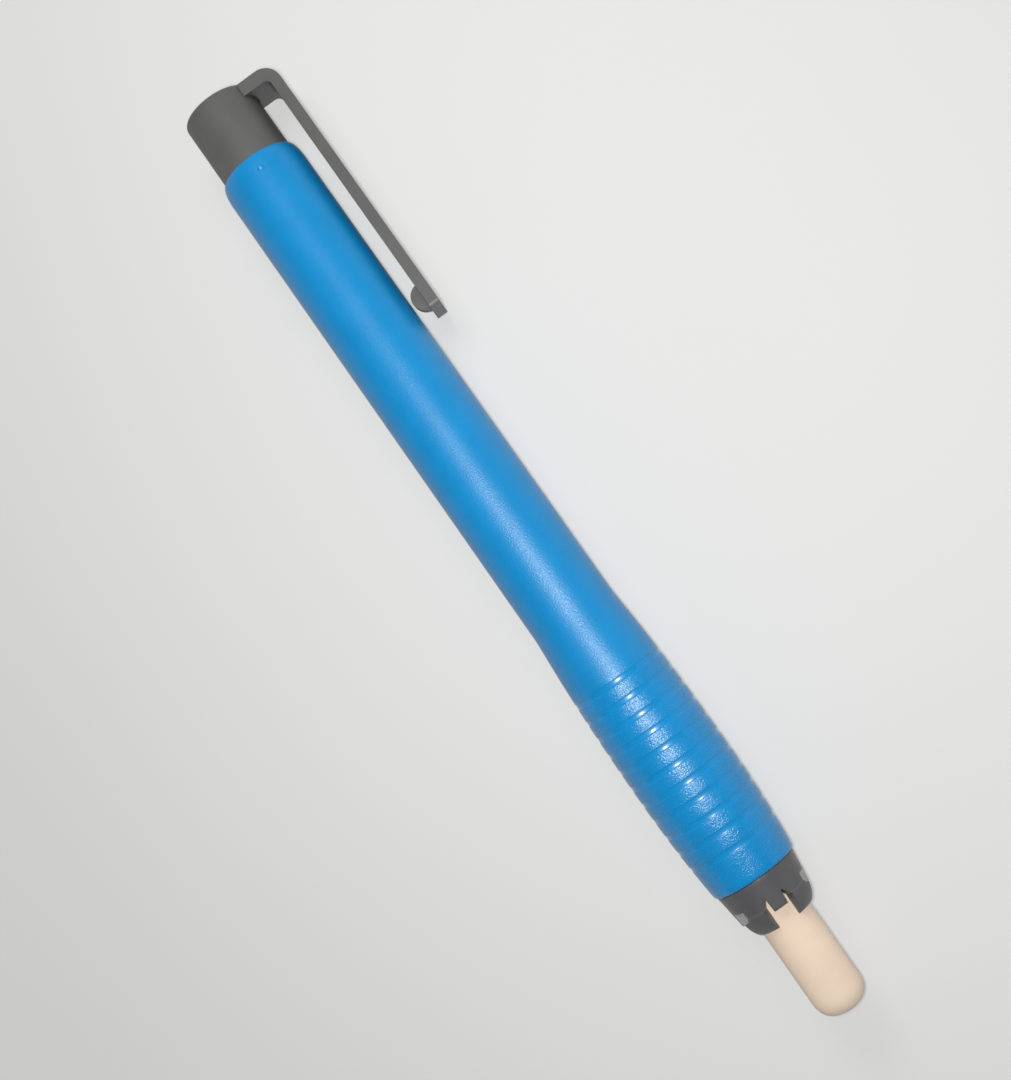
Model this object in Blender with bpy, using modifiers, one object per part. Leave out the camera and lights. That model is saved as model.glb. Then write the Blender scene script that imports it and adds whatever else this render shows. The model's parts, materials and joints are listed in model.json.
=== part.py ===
"""Push-button eraser pen with a split nose and a pocket clip.

The pen is drawn upright on its own axis: +Z runs towards the eraser tip, +X points at the pocket
clip, and z = 0 is the front end of the barrel. The empty pen_axis then lays it down along the
world's +X axis, with one flat of its grip on the floor and its clip turned as far down as it goes.
Sizes are in millimetres and become metres where meshes are made.
"""
from math import acos, asin, atan2, cos, degrees, hypot, pi, radians, sin, tan

import bmesh
import bpy
from mathutils import Matrix, Vector

MM = 0.001

# Mesh fineness
SEGMENTS = 32
MERGE_DIST = 0.005
BISECTIONS = 40
FLARE_STEPS = 6
CROWN_STEPS = 9
JAW_CROWN_STEPS = 6
RIB_STEPS = 14
CORNER_STEPS = 5

# Clearances
RUN_GAP = 0.15
FIT_GAP = 0.10
FACE_GAP = 0.20
CLIP_PLAY = 0.15

# Eraser stick
ERASER_R = 3.3
ERASER_LEN = 100.0
ERASER_OUT = 18.85
ERASER_CROWN = 2.95
ERASER_CROWN_POWER = 2.5

# Chuck and clutch ring
CHUCK_WALL = 0.45
CHUCK_HEAD_LIFT = 0.30
CHUCK_HEAD_OUT = 3.5
CHUCK_CHAMFER = 0.25
CHUCK_PLUG_LEN = 6.0
CHUCK_SLOTS = 4
CHUCK_SLOT_W = 0.6
CHUCK_SLOT_LEN = 18.0
RING_WALL = 0.6
RING_LEN = 3.0
RING_TRAVEL = 1.5

# Return spring
WIRE_R = 0.175
SPRING_LEN = 17.6
SPRING_TURNS = 9
POINTS_PER_TURN = 10

# Feed tube
SOCKET_WALL = 0.5
TUBE_WALL = 0.6
TUBE_SEAT = 12.4

# Barrel
BARREL_LEN = 104.6
BARREL_WALL = 0.9
REAR_WALL = 0.65
REAR_ROUND_LEN = 2.4
SHOULDER_LEN = 3.0
STROKE_SPARE = 0.6
FRONT_LIP = 0.10
REAR_LIP = 0.10
FRONT_EDGE = 0.45
GRIP_SWELL = 0.75
GRIP_PEAK = 14.0
GRIP_LEN = 37.3
FLARE_START = 2.3
FLARE_END = 7.3
FRONT_DROP = 0.70
RING_COUNT = 11
RING_FIRST = 4.45
RING_PITCH = 2.315
RING_WIDTH = 0.84
RING_DEPTH = 0.07
RING_SLOPE = 0.16

# Nose collet
SPIGOT_LEN = 10.3
CHAMBER_FLOOR = 1.2
CHAMBER_CONE = 1.0
COLLAR_STEP = 0.30
NOSE_TAPER = 0.1375
JAW_STEP = 3.4
JAW_RAMP = 0.20
JAW_LIFT = 0.20
JAW_END = 6.2
JAW_TIP_WALL = 0.20
JAW_CROWN_POWER = 1.6
TONGUE_COUNT = 4
TONGUE_END = 4.2
SLOT_ROOT = 2.5
WINDOW_END = 3.8
NOSE_ROLL = radians(84.4)

# Side angles of the tongues and of the jaws, from the middle of a tongue. Every second tongue stands
# in a wide window between the jaws' necks.
TONGUE_ROOT_EDGE = radians(12.2)
TONGUE_TIP_EDGE = radians(11.3)
JAW_ROOT_EDGE = radians(13.8)
JAW_NECK_EDGE = radians(22.5)
JAW_HEAD_EDGE = radians(24.3)
WINDOW_EDGE = radians(37.0)

# Push cap
CAP_OUT = 9.4
CAP_SKIRT = 11.8
CAP_FLOOR = 4.2
CAP_EDGE = 0.9
PRESS_TRAVEL = 3.0

# Pocket clip
CLIP_W = 6.5
CLIP_T = 1.45
CLIP_GAP = 1.8
CLIP_REACH = 27.8
ARM_INSET = 0.4
ARM_T = 1.72
ARM_BEND_OUT = 2.3
ARM_BEND_IN = 0.85
TANG_W = 4.0
TANG_T = 1.2
TANG_DEPTH = 1.55
RIB_T = 1.4
RIB_R = 1.8
RIB_GAP = 0.30
RIB_SETBACK = 0.45

# Radii, from the stick outwards
chuck_bore_r = ERASER_R + FIT_GAP
chuck_r = chuck_bore_r + CHUCK_WALL
chuck_head_r = chuck_r + CHUCK_HEAD_LIFT
ring_bore_r = chuck_head_r + FIT_GAP
ring_r = ring_bore_r + RING_WALL
shoulder_hole_r = chuck_r + RUN_GAP
socket_bore_r = chuck_r + FIT_GAP
socket_r = socket_bore_r + SOCKET_WALL
tube_bore_r = ERASER_R + RUN_GAP
tube_r = tube_bore_r + TUBE_WALL
bore_r = max(socket_r, tube_r) + RUN_GAP
spring_r = (chuck_r + bore_r) / 2
body_r = bore_r + BARREL_WALL
grip_r = body_r + GRIP_SWELL
front_bore_r = ring_r + RUN_GAP
rear_bore_r = body_r - REAR_WALL
cap_r = rear_bore_r - FIT_GAP
cap_socket_r = tube_r + FIT_GAP
spigot_r = front_bore_r - FIT_GAP
chamber_r = chuck_head_r + 2 * FIT_GAP
nose_bore_r = ERASER_R + FIT_GAP
collar_r = front_bore_r + COLLAR_STEP
clip_in = body_r + CLIP_GAP
clip_out = clip_in + CLIP_T

# Places along the axis, from the nose backwards
collar_z = FIT_GAP
spigot_rear = -SPIGOT_LEN
ring_front = spigot_rear - RING_TRAVEL
ring_rear = ring_front - RING_LEN
shoulder_front = ring_rear - FACE_GAP
shoulder_rear = shoulder_front - SHOULDER_LEN
spring_front = shoulder_rear - FACE_GAP
spring_rear = spring_front - SPRING_LEN
tube_front = spring_rear - FACE_GAP
chuck_front = ring_front + CHUCK_HEAD_OUT
chuck_rear = tube_front - CHUCK_PLUG_LEN
socket_floor = chuck_rear - FACE_GAP
cap_front = -(BARREL_LEN - CAP_SKIRT)
cap_end = -(BARREL_LEN + CAP_OUT)
cap_floor = cap_end + CAP_FLOOR
tube_rear = cap_front - TUBE_SEAT
rear_bore_floor = cap_front + PRESS_TRAVEL + STROKE_SPARE
arm_rear = cap_end + ARM_INSET
arm_front = arm_rear + ARM_T
arm_mid = (arm_rear + arm_front) / 2
clip_tip = -BARREL_LEN + CLIP_REACH

# Roll at which a pen that rests on its grip and its rear end touches the floor with its clip's edge
rear_lean = GRIP_SWELL / (BARREL_LEN - REAR_ROUND_LEN - GRIP_PEAK)
clip_height = grip_r + rear_lean * (GRIP_PEAK + arm_rear + ARM_BEND_OUT)
clip_edge = atan2(CLIP_W / 2, clip_out)
rest_roll = asin(clip_height / hypot(clip_out, CLIP_W / 2)) - clip_edge
flat_turn = rest_roll - pi / 2 + pi / SEGMENTS


def clear_scene():
    """Remove whatever the opened file holds."""
    for obj in list(bpy.data.objects):
        bpy.data.objects.remove(obj)


def collection(name):
    """Make a collection in the scene."""
    made = bpy.data.collections.new(name)
    bpy.context.scene.collection.children.link(made)
    return made


def plastic(name, colour, roughness, metallic=0.0):
    """Make a Principled material."""
    material = bpy.data.materials.new(name)
    material.use_nodes = True
    shader = material.node_tree.nodes["Principled BSDF"]
    shader.inputs["Base Color"].default_value = (*colour, 1.0)
    shader.inputs["Roughness"].default_value = roughness
    shader.inputs["Metallic"].default_value = metallic
    return material


def place(obj, material=None):
    """Put an object on the pen's axis: as a part with a material, or as a cutter without one."""
    obj.parent = pen_axis
    if material:
        parts.objects.link(obj)
        obj.data.materials.append(material)
        return obj
    cutters.objects.link(obj)
    obj.hide_render = True
    obj.display_type = "WIRE"
    return obj


def turned(name, profile, material):
    """Turn a profile of (radius, z) points, running down its outer side, about the axis.

    A profile that starts on the axis is open, and any other is closed into a loop. One of the flats
    between the turned edges faces the floor, so that the pen lies still.
    """
    mesh = bpy.data.meshes.new(name)
    count = len(profile)
    edges = [(i, i + 1) for i in range(count - 1)]
    if profile[0][0] > 0:
        edges.append((count - 1, 0))
    across = Vector((cos(flat_turn), sin(flat_turn), 0))
    mesh.from_pydata([(across * r + Vector((0, 0, z))) * MM for r, z in profile], edges, [])
    obj = bpy.data.objects.new(name, mesh)
    screw = obj.modifiers.new("turn", "SCREW")
    screw.steps = SEGMENTS
    screw.render_steps = SEGMENTS
    screw.use_merge_vertices = True
    screw.merge_threshold = MERGE_DIST * MM
    screw.use_smooth_shade = True
    return place(obj, material)


def box(name, low, high, turn=0.0):
    """Make a cutter box between two corners, turned about the axis."""
    bm = bmesh.new()
    bmesh.ops.create_cube(bm, size=1.0)
    size = Vector(high) - Vector(low)
    middle = (Vector(high) + Vector(low)) / 2
    grow = Matrix.Diagonal((*(size * MM), 1.0))
    spot = Matrix.Rotation(turn, 4, "Z") @ Matrix.Translation(middle * MM)
    bmesh.ops.transform(bm, matrix=spot @ grow, verts=bm.verts)
    return place(from_bmesh(name, bm))


def from_bmesh(name, bm):
    """Turn a bmesh into an object."""
    mesh = bpy.data.meshes.new(name)
    bm.to_mesh(mesh)
    bm.free()
    return bpy.data.objects.new(name, mesh)


def plate(name, outline, thickness, frame):
    """Cut a flat plate of an outline and set its sheet plane by a matrix."""
    curve = bpy.data.curves.new(name, "CURVE")
    curve.dimensions = "2D"
    curve.fill_mode = "BOTH"
    curve.extrude = thickness * MM / 2
    spline = curve.splines.new("POLY")
    spline.points.add(len(outline) - 1)
    for point, (u, v) in zip(spline.points, outline):
        point.co = (u * MM, v * MM, 0, 1)
    spline.use_cyclic_u = True
    sketch = bpy.data.objects.new(name + "_sketch", curve)
    cutters.objects.link(sketch)
    bpy.context.view_layer.update()
    seen = sketch.evaluated_get(bpy.context.evaluated_depsgraph_get())
    mesh = bpy.data.meshes.new_from_object(seen)
    bpy.data.objects.remove(sketch)
    bm = bmesh.new()
    bm.from_mesh(mesh)
    bpy.data.meshes.remove(mesh)
    bmesh.ops.remove_doubles(bm, verts=bm.verts, dist=MERGE_DIST * MM)
    bmesh.ops.transform(bm, matrix=frame, verts=bm.verts)
    bmesh.ops.recalc_face_normals(bm, faces=bm.faces)
    return from_bmesh(name, bm)


def combine(obj, operation, other):
    """Add an exact Boolean to an object."""
    step = obj.modifiers.new(other.name, "BOOLEAN")
    step.operation = operation
    step.solver = "EXACT"
    step.object = other


def arc(middle_u, middle_v, radius, start, end, steps):
    """Points of an arc, angles in degrees."""
    angles = [radians(start + (end - start) * i / steps) for i in range(steps + 1)]
    return [(middle_u + radius * cos(a), middle_v + radius * sin(a)) for a in angles]


def crown(inner_r, outer_r, low_z, high_z, power, steps):
    """Points of a rounded end from its top at inner_r down to outer_r at low_z."""
    points = []
    for i in range(steps + 1):
        angle = pi / 2 * (1 - i / steps)
        reach = cos(angle) ** (2 / power)
        rise = sin(angle) ** (2 / power)
        points.append((inner_r + (outer_r - inner_r) * reach, low_z + (high_z - low_z) * rise))
    points[0] = (inner_r, high_z)
    return points


def grip_radius(z):
    """Barrel radius at z: a taper at the front, the swell's peak, a hollow flare, the body."""
    if z > -GRIP_PEAK:
        return grip_r - FRONT_DROP * ((z + GRIP_PEAK) / GRIP_PEAK) ** 2
    if z < -GRIP_LEN:
        return body_r
    stops = (GRIP_LEN, GRIP_LEN - FLARE_START, GRIP_LEN - FLARE_END, GRIP_PEAK)
    low, high = 0.0, 1.0
    for _ in range(BISECTIONS):
        t = (low + high) / 2
        weights = ((1 - t) ** 3, 3 * t * (1 - t) ** 2, 3 * t * t * (1 - t), t ** 3)
        at = -sum(w * s for w, s in zip(weights, stops))
        low, high = (t, high) if at < z else (low, t)
    return body_r + GRIP_SWELL * (weights[2] + weights[3])


def barrel_outside():
    """Outer side of the barrel from the front edge to the rear edge."""
    edge_r = front_bore_r + FRONT_LIP
    points = [(edge_r, 0.0)]
    edge_z = -FRONT_EDGE
    reach = grip_radius(edge_z) - edge_r
    points += [(edge_r + reach * sin(a), edge_z * (1 - cos(a))) for a in (pi / 6, pi / 3, pi / 2)]
    for i in range(RING_COUNT):
        middle = -RING_FIRST - i * RING_PITCH
        half = RING_WIDTH / 2
        for offset, depth in ((half, 0), (half - RING_SLOPE, RING_DEPTH),
                              (RING_SLOPE - half, RING_DEPTH), (-half, 0)):
            points.append((grip_radius(middle + offset) - depth, middle + offset))
    last = points[-1][1]
    for i in range(1, FLARE_STEPS + 1):
        z = last - (GRIP_LEN + last) * i / FLARE_STEPS
        points.append((grip_radius(z), z))
    round_top = -BARREL_LEN + REAR_ROUND_LEN
    for angle in (0, 30, 60, 90):
        a = radians(angle)
        drop = (REAR_WALL - REAR_LIP) * (1 - cos(a))
        points.append((body_r - drop, round_top - REAR_ROUND_LEN * sin(a)))
    return points


def make_barrel():
    """Barrel with a stepped bore: nose seat, spring shoulder, tube bore and button bore."""
    inside = [
        (rear_bore_r, -BARREL_LEN),
        (rear_bore_r, rear_bore_floor),
        (bore_r, rear_bore_floor),
        (bore_r, shoulder_rear),
        (shoulder_hole_r, shoulder_rear),
        (shoulder_hole_r, shoulder_front),
        (front_bore_r, shoulder_front),
        (front_bore_r, 0.0),
    ]
    blue = plastic("barrel_blue", (0.005, 0.19, 0.56), 0.42)
    return turned("barrel", barrel_outside() + inside, blue)


def taper_r(z):
    """Outer radius of the nose's plain cone."""
    return collar_r - NOSE_TAPER * (z - collar_z)


def slot_cutter(name, turn, root_edge, neck_edge, neck_end):
    """Cutter of the two slots beside a tongue and of the gap past it, with radial walls.

    The slots open from root_edge at their root to neck_edge at neck_end, where the jaws' heads begin.
    """
    half = [
        (root_edge, SLOT_ROOT),
        (TONGUE_ROOT_EDGE, SLOT_ROOT),
        (TONGUE_TIP_EDGE, TONGUE_END),
    ]
    far = [
        (JAW_HEAD_EDGE, JAW_END + FACE_GAP),
        (JAW_HEAD_EDGE, neck_end + JAW_RAMP),
        (neck_edge, neck_end),
    ]
    corners = half + [(-a, z) for a, z in reversed(half)] + [(-a, z) for a, z in reversed(far)] + far
    outline = [(collar_r * tan(a), z) for a, z in corners]
    widest = max(neck_edge, JAW_HEAD_EDGE)
    depth = 2 * (collar_r - nose_bore_r * cos(widest) + FACE_GAP)
    frame = Matrix(((0, 0, 1, collar_r * MM), (1, 0, 0, 0), (0, 1, 0, 0), (0, 0, 0, 1)))
    cutter = plate(name, outline, depth, frame)
    bm = bmesh.new()
    bm.from_mesh(cutter.data)
    for corner in bm.verts:
        corner.co.y *= corner.co.x / (collar_r * MM)
    bmesh.ops.triangulate(bm, faces=bm.faces)
    bmesh.ops.transform(bm, matrix=Matrix.Rotation(turn, 4, "Z"), verts=bm.verts)
    bm.to_mesh(cutter.data)
    bm.free()
    return place(cutter)


def make_nose():
    """Split nose: a collar, four long jaws and four short tongues on a hollow spigot."""
    head_z = JAW_STEP + JAW_RAMP
    tip_r = nose_bore_r + JAW_TIP_WALL
    profile = crown(tip_r, taper_r(head_z) + JAW_LIFT, head_z, JAW_END, JAW_CROWN_POWER,
                    JAW_CROWN_STEPS)
    profile += [
        (taper_r(JAW_STEP), JAW_STEP),
        (collar_r, collar_z),
        (spigot_r, collar_z),
        (spigot_r, spigot_rear),
        (chamber_r, spigot_rear),
        (chamber_r, -CHAMBER_FLOOR - CHAMBER_CONE),
        (nose_bore_r, -CHAMBER_FLOOR),
        (nose_bore_r, JAW_END),
    ]
    grey = plastic("nose_grey", (0.075, 0.075, 0.078), 0.5)
    nose = turned("nose_collet", profile, grey)

    trim_low = taper_r((JAW_STEP + TONGUE_END) / 2)
    trim_half = trim_low * tan((TONGUE_ROOT_EDGE + JAW_ROOT_EDGE) / 2)
    for i in range(TONGUE_COUNT):
        turn = NOSE_ROLL + 2 * pi * i / TONGUE_COUNT
        if i % 2:
            opening = (WINDOW_EDGE, WINDOW_EDGE, WINDOW_END)
        else:
            opening = (JAW_ROOT_EDGE, JAW_NECK_EDGE, JAW_STEP)
        combine(nose, "DIFFERENCE", slot_cutter(f"nose_slots_{i}", turn, *opening))
        low = (trim_low, -trim_half, JAW_STEP)
        high = (collar_r, trim_half, TONGUE_END + FACE_GAP)
        combine(nose, "DIFFERENCE", box(f"tongue_trim_{i}", low, high, turn))
    return nose


def make_eraser():
    """Eraser stick with a worn, rounded end."""
    low = ERASER_OUT - ERASER_CROWN
    top = crown(0.0, ERASER_R, low, ERASER_OUT, ERASER_CROWN_POWER, CROWN_STEPS)
    rear = ERASER_OUT - ERASER_LEN
    cream = plastic("eraser_cream", (0.80, 0.66, 0.50), 0.85)
    return turned("eraser_stick", top + [(ERASER_R, rear), (0.0, rear)], cream)


def make_chuck():
    """Split chuck: a head that the clutch ring closes, and a shank that plugs into the tube."""
    profile = [
        (chuck_bore_r, chuck_front),
        (chuck_head_r - CHUCK_CHAMFER, chuck_front),
        (chuck_head_r, chuck_front - CHUCK_CHAMFER),
        (chuck_head_r, ring_front - FACE_GAP),
        (chuck_r, ring_rear + FACE_GAP),
        (chuck_r, chuck_rear),
        (chuck_bore_r, chuck_rear),
    ]
    chuck = turned("chuck", profile, plastic("chuck_white", (0.55, 0.55, 0.53), 0.45))
    for i in range(CHUCK_SLOTS):
        low = (chuck_bore_r - CHUCK_WALL, -CHUCK_SLOT_W / 2, chuck_front - CHUCK_SLOT_LEN)
        high = (chuck_head_r + CHUCK_WALL, CHUCK_SLOT_W / 2, chuck_front + FACE_GAP)
        combine(chuck, "DIFFERENCE", box(f"chuck_slot_{i}", low, high, 2 * pi * i / CHUCK_SLOTS))
    return chuck


def make_clutch_ring():
    """Plain ring round the chuck's head."""
    profile = [
        (ring_bore_r, ring_front),
        (ring_r, ring_front),
        (ring_r, ring_rear),
        (ring_bore_r, ring_rear),
    ]
    return turned("clutch_ring", profile, plastic("ring_brass", (0.55, 0.40, 0.14), 0.3, 1.0))


def make_spring():
    """Return spring as one wound wire, with the least gap between its turns printed.

    The wire runs in straight chords, so its corners lie as far outside spring_r as its chords dip inside.
    """
    corner_r = 2 * spring_r / (1 + cos(pi / POINTS_PER_TURN))
    steps = SPRING_TURNS * POINTS_PER_TURN
    top = spring_front - WIRE_R
    drop = SPRING_LEN - 2 * WIRE_R
    points = []
    for i in range(steps + 1):
        angle = 2 * pi * i / POINTS_PER_TURN
        points.append(Vector((corner_r * cos(angle), corner_r * sin(angle), top - drop * i / steps)))
    near = POINTS_PER_TURN // 2
    gaps = [(a - b).length for i, a in enumerate(points) for b in points[i + near:]]
    print(f"return_spring least gap to itself: {min(gaps) - 2 * WIRE_R:.2f} mm")

    curve = bpy.data.curves.new("return_spring", "CURVE")
    curve.dimensions = "3D"
    curve.bevel_depth = WIRE_R * MM
    curve.bevel_resolution = 1
    curve.use_fill_caps = True
    spline = curve.splines.new("POLY")
    spline.points.add(len(points) - 1)
    for target, point in zip(spline.points, points):
        target.co = (*(point * MM), 1)
    spring = bpy.data.objects.new("return_spring", curve)
    return place(spring, plastic("spring_steel", (0.60, 0.60, 0.60), 0.25, 1.0))


def make_feed_tube():
    """Tube behind the chuck that holds the stick and plugs into the push cap."""
    neck = socket_floor - TUBE_WALL
    profile = [
        (socket_bore_r, tube_front),
        (socket_r, tube_front),
        (socket_r, neck),
        (tube_r, neck - (socket_r - tube_r)),
        (tube_r, tube_rear),
        (tube_bore_r, tube_rear),
        (tube_bore_r, socket_floor),
        (socket_bore_r, socket_floor),
    ]
    return turned("feed_tube", profile, plastic("tube_white", (0.70, 0.70, 0.68), 0.4))


def make_cap():
    """Push button: a skirt in the barrel, a seat for the tube and a slot for the clip."""
    seat = tube_rear - FACE_GAP
    profile = [
        (0.0, cap_floor),
        (tube_bore_r, cap_floor),
        (tube_bore_r, seat),
        (cap_socket_r, seat),
        (cap_socket_r, cap_front),
        (cap_r, cap_front),
    ]
    profile += arc(cap_r - CAP_EDGE, cap_end + CAP_EDGE, CAP_EDGE, 0, -90, CORNER_STEPS)
    profile.append((0.0, cap_end))
    cap = turned("push_cap", profile, plastic("cap_grey", (0.115, 0.115, 0.11), 0.55))
    inner = cap_r - TANG_DEPTH - CLIP_PLAY
    half_w = TANG_W / 2 + CLIP_PLAY
    half_t = TANG_T / 2 + CLIP_PLAY
    slot = box("clip_slot", (inner, -half_w, arm_mid - half_t), (clip_in, half_w, arm_mid + half_t))
    combine(cap, "DIFFERENCE", slot)
    return cap


def make_clip():
    """Pocket clip: a bent bar with a tang in the cap and a half-round rib near its tip."""
    sheet = Matrix(((1, 0, 0, 0), (0, 0, -1, 0), (0, 1, 0, 0), (0, 0, 0, 1)))
    root = cap_r - ARM_T
    outline = [(root, arm_rear)]
    outline += arc(clip_out - ARM_BEND_OUT, arm_rear + ARM_BEND_OUT, ARM_BEND_OUT, -90, 0, CORNER_STEPS)
    outline += [(clip_out, clip_tip), (clip_in, clip_tip)]
    outline += arc(clip_in - ARM_BEND_IN, arm_front + ARM_BEND_IN, ARM_BEND_IN, 0, -90, CORNER_STEPS)
    outline.append((root, arm_front))
    clip = plate("pocket_clip", outline, CLIP_W, sheet)
    place(clip, plastic("clip_grey", (0.125, 0.125, 0.12), 0.55))

    seat = bmesh.new()
    seat_r = (cap_r + CLIP_PLAY) * MM
    bmesh.ops.create_cone(seat, cap_ends=True, segments=2 * SEGMENTS, radius1=seat_r,
                          radius2=seat_r, depth=3 * ARM_T * MM)
    bmesh.ops.translate(seat, verts=seat.verts, vec=(0, 0, arm_mid * MM))
    combine(clip, "DIFFERENCE", place(from_bmesh("clip_seat", seat)))

    low = (cap_r - TANG_DEPTH, -TANG_W / 2, arm_mid - TANG_T / 2)
    high = (cap_r + ARM_T, TANG_W / 2, arm_mid + TANG_T / 2)
    combine(clip, "UNION", box("clip_tang", low, high))

    rib_middle = body_r + RIB_GAP + RIB_R
    sink = min(clip_in + CLIP_T / 2, rib_middle + RIB_R) - rib_middle
    spread = degrees(acos(sink / RIB_R))
    rib_z = clip_tip - RIB_SETBACK - RIB_R
    rib = arc(rib_middle, rib_z, RIB_R, spread, 360 - spread, RIB_STEPS)
    combine(clip, "UNION", place(plate("clip_rib", rib, RIB_T, sheet)))

    pivot = Vector((cap_r, 0, arm_mid)) * MM
    clip.data.transform(Matrix.Translation(-pivot))
    clip.location = pivot
    return clip


def lay_down():
    """Lay the pen along +X with a flat of its grip on z = 0, centred on the origin."""
    side = clip_out * cos(rest_roll) + CLIP_W / 2 * sin(rest_roll)
    turn = Matrix(((0, 0, 1), (cos(rest_roll), sin(rest_roll), 0), (-sin(rest_roll), cos(rest_roll), 0)))
    middle_x = (ERASER_OUT + cap_end) / 2
    flat_r = grip_r * cos(pi / SEGMENTS)
    spot = Vector((-middle_x, (flat_r - side) / 2, flat_r)) * MM
    pen_axis.matrix_world = Matrix.Translation(spot) @ turn.to_4x4()


clear_scene()
parts = collection("eraser_pen")
cutters = collection("cutters")
pen_axis = bpy.data.objects.new("pen_axis", None)
parts.objects.link(pen_axis)
lay_down()
make_barrel()
make_nose()
make_eraser()
make_chuck()
make_clutch_ring()
make_spring()
make_feed_tube()
make_cap()
make_clip()
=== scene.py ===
"""Finished look of a push-button eraser pen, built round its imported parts.

The pieces are drawn upright in millimetres: z runs along the pen to the eraser tip, x points at the
pocket clip, and z = 0 is the front end of the barrel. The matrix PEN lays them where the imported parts
lie, in metres.
"""
import json
from math import asin, atan, ceil, cos, pi, radians, sin, sqrt, tan

import bmesh
import bpy
from mathutils import Matrix, Vector


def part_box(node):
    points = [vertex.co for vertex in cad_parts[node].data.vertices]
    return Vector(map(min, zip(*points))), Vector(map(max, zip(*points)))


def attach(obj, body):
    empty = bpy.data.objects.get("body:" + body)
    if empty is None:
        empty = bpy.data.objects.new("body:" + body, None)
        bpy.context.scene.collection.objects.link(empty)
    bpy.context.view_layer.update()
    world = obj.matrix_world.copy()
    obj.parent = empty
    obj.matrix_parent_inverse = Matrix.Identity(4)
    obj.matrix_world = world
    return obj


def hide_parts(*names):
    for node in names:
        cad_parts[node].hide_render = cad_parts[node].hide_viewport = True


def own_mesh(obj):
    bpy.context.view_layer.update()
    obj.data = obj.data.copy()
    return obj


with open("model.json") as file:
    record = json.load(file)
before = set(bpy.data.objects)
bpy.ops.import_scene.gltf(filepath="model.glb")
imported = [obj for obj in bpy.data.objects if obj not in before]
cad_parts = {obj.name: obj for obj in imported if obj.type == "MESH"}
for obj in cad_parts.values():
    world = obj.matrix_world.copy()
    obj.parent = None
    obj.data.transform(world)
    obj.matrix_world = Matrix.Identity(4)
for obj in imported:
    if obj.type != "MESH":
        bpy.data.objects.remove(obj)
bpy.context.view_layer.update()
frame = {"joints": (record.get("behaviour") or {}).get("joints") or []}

MM = 0.001

# Sizes of the visible pieces, in millimetres
BODY_R = 5.5
GRIP_R = 6.25
BARREL_LEN = 104.6
FRONT_BORE_R = 5.0
FRONT_LIP = 0.10
FRONT_EDGE = 0.45
FRONT_DROP = 0.70
GRIP_PEAK = 14.0
GRIP_LEN = 37.3
FLARE_START = 2.3
FLARE_END = 7.3
RING_COUNT = 11
RING_FIRST = 4.45
RING_PITCH = 2.315
RING_HALF = 0.42
RING_FLAT = 0.26
RING_DEPTH = 0.05
RING_BOWL = 0.014
RING_GLOSS = 0.32
REAR_BORE_R = 4.85
REAR_LIP = 0.10
REAR_ROUND_LEN = 2.4
REAR_BORE_FLOOR = -89.2
GATE_HALF_LEN = 0.42
GATE_HALF_W = 0.36
GATE_H = 0.14
GATE_SKIRT = 0.10
GATE_ROUND = 0.03
GATE_SINK = 0.10
GATE_TILT = radians(19.0)
GATE_Z = -102.4
GATE_TURN = radians(85.7)
BORE_R = 4.6
SHOULDER_FRONT = -15.0
SHOULDER_REAR = -18.0
SHOULDER_HOLE_R = 4.0

ERASER_R = 3.3
ERASER_OUT = 18.85
ERASER_LEN = 100.0
ERASER_CROWN = 2.95
ERASER_POWER = 2.5

COLLAR_R = 5.3
COLLAR_Z = 0.01
NOSE_TAPER = 0.1375
NOSE_BORE_R = 3.4
SPIGOT_R = 4.9
SPIGOT_REAR = -10.3
CHAMBER_R = 4.35
CHAMBER_FLOOR = -1.2
CHAMBER_CONE = 1.0
SLOT_ROOT = 2.5
TONGUE_END = 4.2
JAW_STEP = 3.4
JAW_RAMP = 0.16
JAW_LIFT = 0.20
JAW_END = 6.2
JAW_TIP_R = 3.6
JAW_POWER = 1.6
TONGUE_COUNT = 4
WINDOW_END = 3.77
NOSE_ROLL = radians(84.4)

# Side angles of the tongues and of the jaws, from the middle of a tongue. Every second tongue stands
# in a wide window between the jaws' necks.
TONGUE_ROOT_EDGE = radians(12.2)
TONGUE_TIP_EDGE = radians(11.3)
JAW_ROOT_EDGE = radians(13.6)
JAW_NECK_EDGE = radians(21.5)
JAW_HEAD_EDGE = radians(23.4)
WINDOW_EDGE = radians(37.0)

CAP_R = 4.75
CAP_FRONT = -92.8
CAP_END = -114.0
CAP_FLOOR = -109.8
CAP_EDGE = 0.6
CAP_CHAMFER = 0.25
CAP_SEAT = -105.4
CAP_SOCKET_R = 4.15
TUBE_BORE_R = 3.45

CLIP_HALF = 3.25
CLIP_IN = 7.3
CLIP_OUT = 8.75
CLIP_TIP = -76.8
TIP_FACET = 0.12
TIP_FACET_LEN = 0.42
TIP_SLANT = 0.11
TIP_SLANT_LEN = 1.0
ARM_REAR = -113.6
ARM_FRONT = -111.88
ARM_BEND_OUT = 2.3
ARM_BEND_IN = 0.85
SEAT_R = 4.9
TANG_HALF_W = 2.0
TANG_HALF_T = 0.6
TANG_FLOOR_R = 3.2
TANG_PLAY = 0.15
RIB_HALF = 0.7
RIB_R = 1.8
RIB_MIDDLE_R = 7.6
RIB_SETBACK = 0.45

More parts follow.
